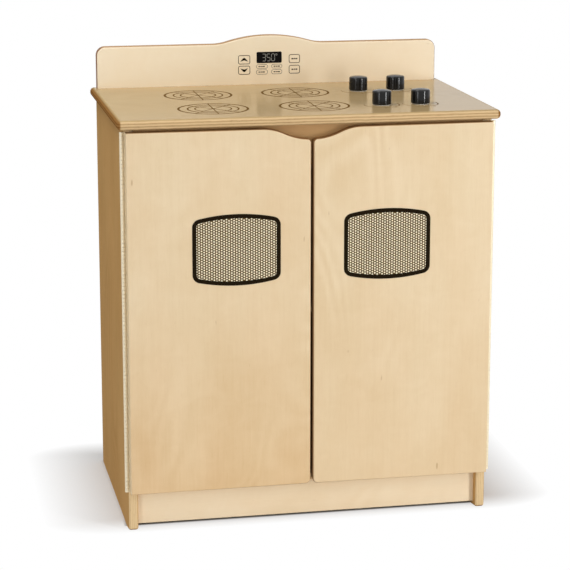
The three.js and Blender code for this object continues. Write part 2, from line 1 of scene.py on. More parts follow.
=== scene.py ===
# %% [markdown]
# # A wooden play stove, dressed for the camera
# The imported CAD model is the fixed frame: every board, hinge and knob already has its place
# in metres. This lesson puts finer surfaces and finishes around that frame, one piece at a
# time. Boards are grids worked out with numpy, and finishes are node materials.

# %% Load the frame
import math

import bmesh
import bpy
import numpy as np
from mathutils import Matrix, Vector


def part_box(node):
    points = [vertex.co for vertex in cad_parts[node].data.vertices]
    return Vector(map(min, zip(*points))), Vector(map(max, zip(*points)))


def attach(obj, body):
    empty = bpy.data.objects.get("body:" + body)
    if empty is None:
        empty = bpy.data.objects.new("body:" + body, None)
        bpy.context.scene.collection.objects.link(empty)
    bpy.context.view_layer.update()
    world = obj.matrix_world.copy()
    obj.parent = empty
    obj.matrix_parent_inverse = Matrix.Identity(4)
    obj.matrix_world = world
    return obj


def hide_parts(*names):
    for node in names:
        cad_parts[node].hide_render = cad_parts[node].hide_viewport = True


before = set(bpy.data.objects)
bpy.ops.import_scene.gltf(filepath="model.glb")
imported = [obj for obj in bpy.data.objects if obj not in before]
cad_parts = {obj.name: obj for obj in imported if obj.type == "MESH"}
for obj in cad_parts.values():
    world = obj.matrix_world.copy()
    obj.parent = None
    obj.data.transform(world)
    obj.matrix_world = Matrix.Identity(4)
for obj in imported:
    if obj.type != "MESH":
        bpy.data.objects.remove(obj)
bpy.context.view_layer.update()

MM = 0.001
SIDES = (("left", -1), ("right", 1))
KNOB_PLACES = ("front_left", "front_right", "back_left", "back_right")


def new_object(name, data):
    """An object that shows a mesh, a camera or a lamp in the scene."""
    made = bpy.data.objects.new(name, data)
    bpy.context.scene.collection.objects.link(made)
    return made


# %% [markdown]
# ## The camera
# The photograph was taken a little left of the front and from above, with a long lens.
# The place, the aim and the lens come from a least-squares fit of the stove's corners to
# where they lie in a square picture. A small lens shift keeps the boards nearly upright.

# %% Place the camera
CAMERA_PLACE = (-0.6717, -3.3163, 1.1579)
CAMERA_YAW = 0.1981
CAMERA_PITCH = 0.2126
CAMERA_LENS = 131.6
CAMERA_SHIFT_UP = -0.08

camera_data = bpy.data.cameras.new("stove_camera")
camera_data.lens = CAMERA_LENS
camera_data.shift_y = CAMERA_SHIFT_UP
camera = new_object("stove_camera", camera_data)
camera.location = CAMERA_PLACE
camera.rotation_euler = (math.pi / 2 - CAMERA_PITCH, 0, -CAMERA_YAW)
bpy.context.scene.camera = camera
print("camera", CAMERA_LENS, "mm at", CAMERA_PLACE)

# %% [markdown]
# ## Shells
# A shell is a pair: an array of points, and a list of integer arrays whose rows are faces.
# Rows of one array all have the same number of corners. Keeping shells as arrays lets one
# knuckle or one dot be repeated a hundred times by adding a place to its points.

# %% Helpers for shells
SHARP_ANGLE = math.radians(35)
MOST_SMOOTH_CORNERS = 4


def grid_faces(rows, columns, closed_rows=False):
    """Faces of a grid of points stored row after row. Each face joins a point, its
    neighbour in the row, and the two points next to them in the following row. The last
    column meets the first, and the last row meets the first when the rows are closed."""
    count = rows if closed_rows else rows - 1
    row, column = np.meshgrid(np.arange(count), np.arange(columns), indexing="ij")
    here = (row * columns + column).ravel()
    beside = (row * columns + (column + 1) % columns).ravel()
    return np.stack([here, beside, beside + columns, here + columns], axis=1) % (rows * columns)


def joined(shells):
    """Several shells as one: the points in a row, and each shell's faces counted on from
    the points before it."""
    starts = np.cumsum([0] + [len(points) for points, _ in shells])
    points = np.concatenate([points for points, _ in shells])
    blocks = [block + start for (_, faces), start in zip(shells, starts) for block in faces]
    return points, blocks


def repeated(shell, places):
    """One shell at many places: the points plus each place."""
    points, blocks = shell
    return joined([(points + place, blocks) for place in places])


def upright(points, axes):
    """Points given as (across, along, height) put into X, Y and Z in the order of axes.
    "xzy" means that across is X, along is Z and height is Y."""
    return points[:, [axes.index(axis) for axis in "xyz"]]


def add_piece(name, shell, material, body, replaced=()):
    """Puts a shell into a mesh with its faces pointing outwards, smooth except over edges
    sharper than the sharp angle, and makes it ride on a body. A face with more than four
    corners is a board's flat cap: shaded flat, it mirrors the room without a bend."""
    points, blocks = shell
    mesh = bpy.data.meshes.new(name)
    mesh.from_pydata(points.tolist(), [], [row for block in blocks for row in block.tolist()])
    work = bmesh.new()
    work.from_mesh(mesh)
    bmesh.ops.recalc_face_normals(work, faces=work.faces)
    work.to_mesh(mesh)
    work.free()
    mesh.shade_smooth()
    mesh.set_sharp_from_angle(angle=SHARP_ANGLE)
    corners = np.zeros(len(mesh.polygons), dtype=np.int32)
    mesh.polygons.foreach_get("loop_total", corners)
    mesh.polygons.foreach_set("use_smooth", corners <= MOST_SMOOTH_CORNERS)
    mesh.materials.append(material)
    piece = new_object(name, mesh)
    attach(piece, body)
    if replaced:
        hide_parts(*replaced)
    print(f"{name}: {len(points)} points, {len(corners)} faces")


# %% [markdown]
# ## Outlines
# A board's face is a closed outline. Straight sides need no points between their corners,
# so an outline is a chain of corners, some of them rounded, and a curve such as the crest or
# the finger scoop is one more array of points in the same chain.

# %% Helpers for outlines


def unit(rows):
    """Each row divided by its length."""
    return rows / np.linalg.norm(rows, axis=-1, keepdims=True)


def on_circle(angle):
    """The points of the unit circle at some angles: cosine and sine."""
    return np.stack([np.cos(angle), np.sin(angle)], axis=-1)


def ring(sides):
    """Evenly spaced points round the unit circle."""
    return on_circle(2 * math.pi * np.arange(sides) / sides)


def corner_arc(before, corner, after, radius, steps):
    """Points on the arc that rounds a corner: the centre lies on the line that halves the
    angle, at radius over the sine of the half angle, and the arc runs from one tangent
    point to the other."""
    to_before, to_after = unit(before - corner), unit(after - corner)
    half = math.acos(float(np.clip(to_before @ to_after, -1, 1))) / 2
    centre = corner + unit(to_before + to_after) * radius / math.sin(half)
    start = corner + to_before * radius / math.tan(half) - centre
    end = corner + to_after * radius / math.tan(half) - centre
    first = math.atan2(start[1], start[0])
    sweep = math.atan2(start[0] * end[1] - start[1] * end[0], float(start @ end))
    return centre + radius * on_circle(first + sweep * np.linspace(0, 1, steps + 1))


def sharp_rows(across, along):
    """Rows of an outline whose radius is nothing."""
    return np.column_stack([across, along, np.zeros(len(across))])


def rounded_outline(rows, steps=6):
    """A closed outline from rows of (across, along, radius). A row with a radius becomes
    the arc that rounds its corner, and a row without one stays a point."""
    rows = np.asarray(rows, dtype=float)
    before, after = np.roll(rows, 1, axis=0), np.roll(rows, -1, axis=0)
    return np.concatenate([
        corner_arc(last[:2], row[:2], following[:2], row[2], steps) if row[2] else row[None, :2]
        for last, row, following in zip(before, rows, after)
    ])


def rounded_box(x0, x1, z0, z1, radius, steps=6):
    """A rectangle with four equal rounded corners, turning left all the way."""
    corners = ((x0, z0), (x1, z0), (x1, z1), (x0, z1))
    return rounded_outline([(x, z, radius) for x, z in corners], steps)


def outward(outline):
    """For each point of a closed outline, the step that moves both of its sides out by one:
    the sum of the two side normals over one plus their dot product."""
    side = unit(np.roll(outline, -1, axis=0) - outline)
    turning = np.sum(outline[:, 0] * np.roll(outline[:, 1], -1)
                     - outline[:, 1] * np.roll(outline[:, 0], -1))
    normal = side[:, ::-1] * [1, -1] * np.sign(turning)
    earlier = np.roll(normal, 1, axis=0)
    return (normal + earlier) / (1 + np.sum(normal * earlier, axis=1, keepdims=True))


def board_shell(outline, low, high, edge_radius, axes, steps=5, out=None):
    """A board as a grid. One parameter runs round the outline, and the other is an angle
    that goes from face to face: the outline is drawn in by radius times one less the
    cosine, and the height leaves its face by radius times one less the sine, so each long
    edge is a quarter round. The radius is one value, one for each point, or two rows of
    values, for the low face and the high one."""
    count = len(outline)
    out = outward(outline) if out is None else out
    radius = np.repeat(np.broadcast_to(edge_radius, (2, count)), steps + 1, axis=0)
    quarter = np.linspace(0, math.pi / 2, steps + 1)
    angle = np.concatenate([quarter[::-1], quarter])[:, None]
    inwards = radius * (1 - np.cos(angle))
    lift = radius * (1 - np.sin(angle))
    rows = outline - out * inwards[:, :, None]
    heights = np.where(np.arange(2 * steps + 2)[:, None] <= steps, low + lift, high - lift)
    points = np.concatenate([rows, heights[:, :, None]], axis=2).reshape(-1, 3)
    last = len(points) - count
    caps = np.stack([np.arange(count)[::-1], np.arange(count) + last])
    return upright(points, axes), [grid_faces(2 * steps + 2, count), caps]


def swept_shell(outer, inner, low, high, closed):
    """The strip between two paths and two heights: a section of four corners carried along.
    A closed strip's last section meets its first, and an open one gets a cap at each end."""
    corners = ((outer, low), (outer, high), (inner, high), (inner, low))
    section = [np.insert(path, 2, height, axis=1) for path, height in corners]
    blocks = [grid_faces(len(outer), 4, closed)]
    if not closed:
        blocks.append(np.stack([np.arange(4), np.arange(4)[::-1] + 4 * (len(outer) - 1)]))
    return np.stack(section, axis=1).reshape(-1, 3), blocks


def ribbon_shell(path, width, low, high, axes, closed=True):
    """A flat strip along a path, with half the width to each side of it. The width may
    change along the path."""
    if closed:
        side = outward(path)
    else:
        side = unit(np.gradient(path, axis=0))[:, ::-1] * [1, -1]
    reach = side * np.broadcast_to(width, len(path))[:, None] / 2
    points, blocks = swept_shell(path + reach, path - reach, low, high, closed)
    return upright(points, axes), blocks


def turned_shell(profile, sides):
    """A profile of (radius, height) rows turned round the Z axis. The first and the last
    row lie on the axis and become single points, so both poles are closed."""
    body = np.concatenate([
        np.insert(radius * ring(sides), 2, height, axis=1) for radius, height in profile[1:-1]
    ])
    poles = np.array([[0, 0, profile[0][1]], [0, 0, profile[-1][1]]])
    column = np.arange(sides)
    onward = (column + 1) % sides
    last = len(body) - sides
    first_fan = np.stack([np.full(sides, len(body)), onward, column], axis=1)
    last_fan = np.stack([np.full(sides, len(body) + 1), column + last, onward + last], axis=1)
    faces = [grid_faces(len(profile) - 2, sides), np.concatenate([first_fan, last_fan])]
    return np.concatenate([body, poles]), faces


# %% [markdown]
# ## Node helpers
# Each finish is a small network of nodes. A helper that adds one node and joins its inputs
# in the same line keeps a network readable from top to bottom. A helper that gets a socket
# adds its node to the tree in which that socket lies.

# %% Helpers for nodes
WHITE, BLACK = (1, 1, 1, 1), (0, 0, 0, 1)
MIX_FACTOR, MIX_FIRST, MIX_SECOND, MIX_RESULT = 0, 6, 7, 2


def paint(red, green, blue):
    """A colour written as on a screen, from 0 to 255, as the linear colour nodes use."""
    value = np.array([red, green, blue]) / 255
    linear = np.where(value <= 0.04045, value / 12.92, ((value + 0.055) / 1.055) ** 2.4)
    return (*linear.tolist(), 1.0)


def feed(node, inputs):
    """Gives each named or numbered input of a node a value or a link."""
    for key, value in inputs.items():
        if isinstance(value, bpy.types.NodeSocket):
            node.id_data.links.new(value, node.inputs[key])
        else:
            node.inputs[key].default_value = value


def add_node(tree, kind, inputs=None, **settings):
    """Adds a node, sets its properties, feeds its inputs and gives its outputs."""
    made = tree.nodes.new(kind)
    for key, value in settings.items():
        setattr(made, key, value)
    feed(made, inputs or {})
    return made.outputs


def maths(operation, first, second=0.0, third=0.0, clamp=False):
    """One Math node and its result."""
    return add_node(first.id_data, "ShaderNodeMath", {0: first, 1: second, 2: third},
                    operation=operation, use_clamp=clamp)[0]


def times(first, second):
    """The product of two values."""
    return maths("MULTIPLY", first, second)


def line(value, slope, start):
    """The value times the slope, plus the start."""
    return maths("MULTIPLY_ADD", value, slope, start)


def ramp(value, slope, start=0.0):
    """The same line held between 0 and 1."""
    return maths("MULTIPLY_ADD", value, slope, start, clamp=True)


def noise(vector, scale, detail=2.0, roughness=0.5, distortion=0.0):
    """One Noise texture and its factor, about 0.5 in the middle."""
    return add_node(vector.id_data, "ShaderNodeTexNoise", {
        "Vector": vector, "Scale": scale, "Detail": detail,
        "Roughness": roughness, "Distortion": distortion,
    })["Fac"]


def stretched(vector, scales):
    """The vector with each axis scaled on its own, so a pattern can run along the grain."""
    return add_node(vector.id_data, "ShaderNodeVectorMath", {0: vector, 1: scales},
                    operation="MULTIPLY")[0]


def mixed(factor, first, second, blend="MIX"):
    """One colour Mix node and its result."""
    inputs = {MIX_FACTOR: factor, MIX_FIRST: first, MIX_SECOND: second}
    return add_node(factor.id_data, "ShaderNodeMix", inputs, data_type="RGBA",
                    blend_type=blend)[MIX_RESULT]


def new_group(name, inputs, outputs):
    """An empty shader node group, the sockets that come into it, and its end node. Inputs
    and outputs give each socket's kind."""
    group = bpy.data.node_groups.new(name, "ShaderNodeTree")
    for way, kinds in (("INPUT", inputs), ("OUTPUT", outputs)):
        for label, kind in kinds.items():
            group.interface.new_socket(label, in_out=way, socket_type=f"NodeSocket{kind}")
    return group, group.nodes.new("NodeGroupInput").outputs, group.nodes.new("NodeGroupOutput")


def new_material(name):
    """An empty material with its tree, its Principled shader and its coordinates."""
    material = bpy.data.materials.new(name)
    material.use_nodes = True
    tree = material.node_tree
    return material, tree, tree.nodes["Principled BSDF"], add_node(tree, "ShaderNodeTexCoord")


def roughen(shader, height, distance):
    """Feeds a height into the shader's normal through one Bump node."""
    bump = add_node(shader.id_data, "ShaderNodeBump", {"Distance": distance, "Height": height})
    feed(shader, {"Normal": bump["Normal"]})


# %% [markdown]
# ## Birch veneer
# Rotary-cut birch is pale and quiet: wide soft flames where the knife crosses the yearly
# rings, faint streaks along the grain, very short dark pores, and cloudy patches that are
# a little pinker or yellower. The group stretches noise along Z, and a material turns its
# coordinates so that Z is the way the grain of that board runs.

# %% The veneer group
# Each pattern's scale across and along the grain, its detail, roughness and distortion
VENEER_PATTERNS = {
    "flame": (3.6, 1.9, 2.0, 0.45, 0.8),
    "gate": (5.5, 3.2, 1.0),
    "cloud": (9.0, 5.0, 3.0, 0.55),
    "streak": (150.0, 3.0, 4.0, 0.6),
    "dash": (330.0, 24.0, 2.0, 0.6),
    "curl": (30.0, 44.0, 2.0, 0.5, 1.2),
    "pore": (1100.0, 60.0, 1.0),
    "fleck": (170.0, 40.0, 0.0),
    "blush": (14.0, 4.0, 2.0),
}
# The slope and start of the ramps that turn patterns into masks
VENEER_RAMPS = {
    "gate": (4.5, -2.25), "pore": (7.0, -4.3), "fleck": (16.0, -13.6), "blush": (2.0, -0.6),
}
NOISE_MIDDLE = 0.5
FLAME_WAVES = 120.0
CLOUD_LINE = (0.80, 0.02)
CURL_STRENGTH = 0.24
GRAIN_STRENGTHS = {"streak": 0.26, "dash": 0.24}
FLAME_STRENGTH = 0.15
PORE_STRENGTH = 0.12
BLUSH_STRENGTH, BLUSH = 0.25, paint(255, 241, 232)
FLECK_STRENGTH, FLECK = 0.5, paint(176, 134, 88)
ROUGHNESS_LINE = (0.16, 0.36)

veneer, veneer_in, veneer_out = new_group(
    "birch_veneer",
    {"Vector": "Vector", "Pale": "Color", "Tan": "Color", "Figure": "Float", "Streaks": "Float"},
    {"Color": "Color", "Roughness": "Float", "Height": "Float"},
)
pattern = {
    name: noise(stretched(veneer_in["Vector"], (across, across, along)), 1.0, *rest)
    for name, (across, along, *rest) in VENEER_PATTERNS.items()
}
mask = {name: ramp(pattern[name], *values) for name, values in VENEER_RAMPS.items()}
tone = line(pattern["cloud"], *CLOUD_LINE)
tone = line(maths("SUBTRACT", pattern["curl"], NOISE_MIDDLE), CURL_STRENGTH, tone)
for name, strength in GRAIN_STRENGTHS.items():
    lines = line(pattern[name], strength, -NOISE_MIDDLE * strength)
    tone = line(lines, veneer_in["Streaks"], tone)
flame = times(maths("SINE", times(pattern["flame"], FLAME_WAVES)), mask["gate"])
tone = line(times(flame, FLAME_STRENGTH), veneer_in["Figure"], tone)
tone = ramp(mask["pore"], PORE_STRENGTH, tone)
wood = mixed(tone, veneer_in["Pale"], veneer_in["Tan"])
wood = mixed(times(mask["blush"], BLUSH_STRENGTH), wood, BLUSH, "MULTIPLY")
wood = mixed(times(mask["fleck"], FLECK_STRENGTH), wood, FLECK)
feed(veneer_out, {
    "Color": wood,
    "Roughness": line(pattern["streak"], *ROUGHNESS_LINE),
    "Height": maths("SUBTRACT", pattern["streak"], mask["pore"]),
})
print("veneer group:", len(veneer.nodes), "nodes")

# %% [markdown]
# ## Plywood edges
# Where a board is cut, its plies show as thin lines, pale and brown by turns, with a dark
# glue line between them and short dark end-grain patches. The group needs the depth into
# the board's thickness, and how far the surface faces away from the thickness.

# %% The ply edge group
WANDER_SCALE, WANDER = 45.0, 0.8
BAND_RAMP, BAND_STRENGTH = (2.2, -0.6), 0.85
GLUE_RAMP, GLUE_STRENGTH, GLUE_BROWN = (-9.0, 0.9), 0.34, paint(110, 74, 42)
PATCH_NOISE, PATCH_RAMP = (150.0, 3.0, 0.65), (5.0, -2.6)
PATCH_STRENGTH, PATCH_BROWN = 0.45, paint(120, 80, 44)
NOSE_SLOPE = 5.0

ply, ply_in, ply_out = new_group(
    "ply_edge",
    {"Vector": "Vector", "Depth": "Float", "Facing": "Float", "Pale": "Color",
     "Brown": "Color", "Contrast": "Float", "Nose": "Float", "Pitch": "Float"},
    {"Color": "Color", "Mask": "Float"},
)
layer = line(noise(ply_in["Vector"], WANDER_SCALE), WANDER,
             maths("DIVIDE", ply_in["Depth"], ply_in["Pitch"]))
band = times(ramp(maths("PINGPONG", layer, 1.0), *BAND_RAMP), ply_in["Contrast"])
glue = times(ramp(maths("PINGPONG", layer, 0.5), *GLUE_RAMP), ply_in["Contrast"])
patch = times(ramp(noise(ply_in["Vector"], *PATCH_NOISE), *PATCH_RAMP), times(band, PATCH_STRENGTH))
layers = mixed(times(band, BAND_STRENGTH), ply_in["Pale"], ply_in["Brown"])
layers = mixed(patch, layers, PATCH_BROWN)
layers = mixed(times(glue, GLUE_STRENGTH), layers, GLUE_BROWN)
below_nose = maths("SUBTRACT", ply_in["Nose"], ply_in["Facing"])
feed(ply_out, {"Color": layers, "Mask": ramp(below_nose, NOSE_SLOPE)})
print("ply group:", len(ply.nodes), "nodes")

# %% [markdown]
# ## Board finishes
# Every board uses the two groups with its own values: which way its grain runs, where its
# pattern starts so that no two boards match, and which axis its thickness lies along. The
# gloss is the shader's own: satin on the cabinet, a deep coat of lacquer on the cooktop.

# %% Board materials
GRAIN_TURNS = {"z": (0, 0, 0), "x": (0, math.pi / 2, 0)}
EDGE_ROUGHNESS = 0.5
PATCH_FLATNESS = 4.0
LACQUER_ROUGHNESS = 0.15
LACQUER_FALL = 50.0
END_RAMP, END_SHADE = (4.0, -0.9), paint(186, 158, 122)
# Painted shade: door edges near the stove's middle are browned, standing in for the shade in the gap
# between the doors and in the scoop
GAP_SHADE_FADE, GAP_SHADE_STRENGTH, PAINTED_GAP_SHADE = 0.02, 0.8, paint(142, 98, 52)
# Painted shade: the doors' veneer is darkened from this height down to the floor, standing in for the
# shade low on the doors, more on the left door
FOOT_SHADE_REACH, PAINTED_FOOT_SHADE = 0.38, paint(248, 236, 220)
DOOR_COLOURS = ((241, 221, 187), (219, 190, 144))
DOOR_EDGES = ((244, 222, 184), (222, 190, 142))
DOOR_LOOK = {"figure": 1.2, "streaks": 0.85, "gap_shade_reach": 0.12}
EDGES = ((236, 208, 162), (204, 166, 114))
# Each board's grain and thickness axes, the start of its pattern, the colours of its faces
# and edges, and the values that differ from board_finish's own
BOARD_FINISHES = {
    "left_door_birch": ("z", "y", (0.31, 0.0, 0.17), DOOR_COLOURS, DOOR_EDGES,
                        {**DOOR_LOOK, "foot_shade": 1.05}),
    "right_door_birch": ("z", "y", (2.43, 0.4, 1.38), DOOR_COLOURS, DOOR_EDGES,
                         {**DOOR_LOOK, "foot_shade": 0.4}),
    # The sides' colours are a darker, browner copy of the birch: painted shade, on top of the real
    # shade that the weaker left lamps give
    "side_birch_painted_shade": ("z", "x", (4.1, 1.3, 0.6), ((212, 170, 113), (188, 146, 91)), EDGES,
                   {"contrast": 0.4, "shine": 0.0}),
    "backsplash_birch": ("x", "y", (0.7, 2.2, 3.1), ((252, 240, 215), (240, 220, 184)),
                         ((196, 152, 98), (146, 102, 58)),
                         {"figure": 0.3, "streaks": 0.3, "contrast": 1.0}),
    # The kick's colours are a paler copy of the birch: painted light that makes up for the shade
    # under the doors
    "kick_birch_painted_light": ("x", "y", (5.2, 0.3, 1.9), ((253, 236, 206), (237, 212, 172)), EDGES,
                   {"figure": 0.5, "streaks": 0.6}),
    # The rail's colours are a darker copy of the birch: painted shade for its recess behind the scoop
    "rail_birch_painted_shade": ("x", "y", (8.2, 1.3, 2.9), ((204, 164, 112), (178, 138, 86)), EDGES,
                   {"figure": 0.5}),
    "shelf_birch": ("x", "z", (1.2, 4.4, 0.2), DOOR_COLOURS, EDGES, {}),
    "back_ply": ("z", "y", (7.5, 0.9, 2.4), ((224, 196, 150), (190, 152, 102)), EDGES,
                 {"figure": 1.6}),
    # The cooktop's colours are a darker copy of the birch under its lacquer: painted shade
    "lacquered_cooktop_painted_shade": (
        "x", "z", (3.6, 0.5, 0.9), ((198, 171, 124), (180, 153, 106)),
        ((222, 192, 146), (166, 126, 80)),
        {"figure": 0.8, "streaks": 0.7, "contrast": 0.7, "shine": 0.0, "bump": 0.00001,
         "lacquer": 0.7, "nose": 0.97, "pitch": 2.3 * MM}),
}


def board_finish(name, grain_axis, thickness_axis, offset, colours, edge_colours,
                 figure=1.0, streaks=1.0, contrast=0.55, shine=0.3, bump=0.00006,
                 lacquer=0.0, gap_shade_reach=0.0, foot_shade=0.0, nose=0.83, pitch=1.45 * MM):
    """A veneered plywood board: veneer on the faces, and plies where the normal's share
    along the thickness falls below the nose value. Shine is the shader's specular level,
    and lacquer is the weight of a glossy coat that ends at the cut edges. Edges nearer to
    the stove's middle than the given reach are browned as painted shade, standing in for
    the shade in the door gap and the scoop, and edges across the grain are darker, because
    end grain soaks up the lacquer. The foot value is how strongly painted shade darkens the
    veneer from a set height down to the floor."""
    material, tree, shader, place = new_material(name)
    turned = add_node(tree, "ShaderNodeMapping", {
        "Vector": place["Object"], "Location": offset, "Rotation": GRAIN_TURNS[grain_axis],
    })
    face = add_node(tree, "ShaderNodeGroup", {
        "Vector": turned[0], "Pale": paint(*colours[0]), "Tan": paint(*colours[1]),
        "Figure": figure, "Streaks": streaks,
    }, node_tree=veneer)
    position = add_node(tree, "ShaderNodeSeparateXYZ", {0: place["Object"]})
    normal = add_node(tree, "ShaderNodeSeparateXYZ", {0: place["Normal"]})
    axis = "xyz".index(thickness_axis)
    facing = maths("ABSOLUTE", normal[axis])
    flat_scales = [1.0, 1.0, 1.0]
    flat_scales[axis] = PATCH_FLATNESS
    edge = add_node(tree, "ShaderNodeGroup", {
        "Vector": stretched(place["Object"], flat_scales), "Depth": position[axis],
        "Facing": facing, "Pale": paint(*edge_colours[0]), "Brown": paint(*edge_colours[1]),
        "Contrast": contrast, "Nose": nose, "Pitch": pitch,
    }, node_tree=ply)
    end_grain = ramp(maths("ABSOLUTE", normal["xyz".index(grain_axis)]), *END_RAMP)
    cut = mixed(end_grain, edge["Color"], END_SHADE, "MULTIPLY")
    # Painted shade: edges near the middle are browned for the shade in the door gap and the scoop
    if gap_shade_reach:
        gap_shade_share = ramp(maths("ABSOLUTE", position["X"]), -1 / GAP_SHADE_FADE, gap_shade_reach / GAP_SHADE_FADE)
        cut = mixed(times(gap_shade_share, GAP_SHADE_STRENGTH), cut, PAINTED_GAP_SHADE)
    surface = face["Color"]
    # Painted shade: the veneer darkens towards the floor
    if foot_shade:
        depth = ramp(position["Z"], -1 / FOOT_SHADE_REACH, 1.0)
        surface = mixed(times(depth, foot_shade), surface, PAINTED_FOOT_SHADE, "MULTIPLY")
    feed(shader, {
        "Base Color": mixed(edge["Mask"], surface, cut),
        "Roughness": maths("MAXIMUM", face["Roughness"], times(edge["Mask"], EDGE_ROUGHNESS)),
        "Specular IOR Level": shine,
    })
    roughen(shader, face["Height"], bump)
    if lacquer:
        feed(shader, {
            "Coat Weight": times(ramp(facing, LACQUER_FALL, 1 - LACQUER_FALL), lacquer),
            "Coat Roughness": LACQUER_ROUGHNESS,
        })
    return material


boards = {
    name: board_finish(name, *values, **others)
    for name, (*values, others) in BOARD_FINISHES.items()
}
print("board finishes:", len(boards))

# %% [markdown]
# ## Small finishes
# Moulded plastic has a faint mottle in its gloss, plated steel has fine brushing, and ink
# is flat with a slight unevenness. Each is one colour moved a little by noise, with the
# metal or gloss set on the shader itself.

# %% Plain materials
# Light and dark colour, noise scale, roughness, then the shine, metal and bump where they
# differ from plain_finish's own
PLAIN_FINISHES = {
    "black_knob_plastic": ((16, 15, 15), (10, 10, 10), 260.0, 0.11, 0.3),
    "white_nylon": ((236, 232, 222), (222, 216, 203), 180.0, 0.45),
    "plated_hinge": ((255, 244, 216), (243, 229, 196), 400.0, 0.38, 0.5, 0.2, 0.00003),
    "zinc_steel": ((200, 200, 196), (166, 166, 162), 500.0, 0.36, 0.5, 0.95),
    "brown_catch_plastic": ((112, 78, 48), (92, 62, 37), 150.0, 0.45),
    "magnet_ferrite": ((56, 56, 58), (40, 40, 42), 300.0, 0.5),
    "dowel_beech": ((222, 186, 140), (200, 160, 112), 200.0, 0.6),
    "burner_ink": ((128, 98, 58), (110, 82, 46), 300.0, 0.5, 0.0),
    "panel_ink": ((58, 44, 28), (44, 32, 19), 300.0, 0.5, 0.1),
    "black_ink": ((38, 30, 18), (29, 22, 13), 220.0, 0.4, 0.0),
    "display_black": ((18, 16, 16), (12, 11, 12), 220.0, 0.3, 0.05),
    "digit_grey": ((164, 164, 158), (140, 140, 136), 500.0, 0.4),
    "window_brown": ((108, 88, 52), (94, 74, 42), 260.0, 0.5, 0.05),
    "window_cream": ((255, 249, 222), (254, 241, 207), 700.0, 0.5),
}
DRIFT_DETAIL = (3.0, 0.6)
GLOSS_DRIFT = 0.12


def plain_finish(name, light, dark, scale, roughness, shine=0.5, metal=0.0, bump=0.0):
    """A finish that drifts between two near colours, with roughness moved by the same
    noise."""
    material, tree, shader, place = new_material(name)
    drift = noise(place["Object"], scale, *DRIFT_DETAIL)
    feed(shader, {
        "Base Color": mixed(drift, paint(*light), paint(*dark)),
        "Roughness": ramp(drift, GLOSS_DRIFT, roughness - GLOSS_DRIFT / 2),
        "Metallic": metal,
        "Specular IOR Level": shine,
    })
    if bump:
        roughen(shader, drift, bump)
    return material


plain = {name: plain_finish(name, *values) for name, values in PLAIN_FINISHES.items()}
print("plain finishes:", len(plain))

# %% [markdown]
# ## Finishes on the CAD nodes that stay
# A node whose shape is right keeps its mesh and only gets a finish.

# %% Give the kept nodes their finishes


def named(*words):
    """The CAD nodes whose names hold one of the words."""
    return [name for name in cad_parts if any(word in name for word in words)]


kept_finishes = {
    # The kick's paler colours are painted light
    boards["kick_birch_painted_light"]: ["toe_kick", "back_rail"],
    # The front rail's darker colours are painted shade
    boards["rail_birch_painted_shade"]: ["front_rail"],
    boards["shelf_birch"]: ["floor_panel", "shelf"],
    boards["back_ply"]: ["back_panel"],
    plain["brown_catch_plastic"]: named("_housing"),
    plain["magnet_ferrite"]: named("_magnet"),
    plain["white_nylon"]: named("_glide"),
    plain["dowel_beech"]: named("_dowel"),
    plain["zinc_steel"]: named("_screw", "_washer", "_pin", "_strike_plate"),
}
for finish, names in kept_finishes.items():
    for name in names:
        materials = bpy.data.objects[name].data.materials
        materials.clear()
        materials.append(finish)
print("kept nodes:", sum(len(names) for names in kept_finishes.values()))

# %% [markdown]
# ## The doors
# Each door is one plywood board. Its edges are rounded over, its meeting corners are
# round, and half of the finger scoop is cut from its top edge. The scoop is an S-shaped
# curve: a hollow arc in the middle, run out level by a second arc.

# %% Build the doors
EDGE_ROUND = 3 * MM
HINGE_SIDE_ROUND = 1 * MM
SCOOP = (18 * MM, 105 * MM, 80 * MM)
SCOOP_START = 12.35 * MM
SCOOP_POINTS = 28
DOOR_TOP_CORNER = 6.5 * MM
DOOR_FOOT_CORNER = 8 * MM


def rise_reach(rise, radius, fillet):
    """How far from its middle a rise runs out: the side of a right triangle whose longest
    side joins the centres of the two arcs."""
    return math.sqrt(2 * (radius + fillet) * rise - rise**2)


def rise_height(across, rise, radius, fillet):
    """The height of a rise at a distance from its middle: an arc of the radius over the
    middle, and beyond the point where both arcs have one tangent, an arc of the fillet
    radius that runs out level."""
    reach = rise_reach(rise, radius, fillet)
    meet = reach * radius / (radius + fillet)
    distance = np.abs(across)
    over = rise - radius + np.sqrt(np.maximum(radius**2 - distance**2, 0))
    under = fillet - np.sqrt(np.maximum(fillet**2 - (reach - distance) ** 2, 0))
    return np.where(distance <= meet, over, np.where(distance < reach, under, 0))


def door_outline(low, high, sign):
    """The outline in X and Z: square corners on the hinge side, round ones at the meeting
    edge, and the scoop from the meeting edge to where it runs out. A round corner has to be
    wider than the edge's own round, or the drawn-in outline would cross itself."""
    inner, outer = sorted((abs(low.x), abs(high.x)))
    across = np.append(inner, np.linspace(inner + SCOOP_START, rise_reach(*SCOOP), SCOOP_POINTS))
    along = high.z - rise_height(across, *SCOOP)
    rows = [(outer, high.z, 0), (outer, low.z, 0), (inner, low.z, DOOR_FOOT_CORNER),
            (inner, along[0], DOOR_TOP_CORNER), *sharp_rows(across[1:], along[1:])]
    return rounded_outline(rows, steps=8) * [sign, 1]


for side, sign in SIDES:
    low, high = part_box(f"{side}_door")
    outline = door_outline(low, high, sign)
    rounds = np.full(len(outline), EDGE_ROUND)
    rounds[:2] = HINGE_SIDE_ROUND
    add_piece(
        f"{side}_door_board",
        board_shell(outline, low.y, high.y, rounds, "xzy"),
        boards[f"{side}_door_birch"], f"{side}_door_assembly",
        [f"{side}_door"])

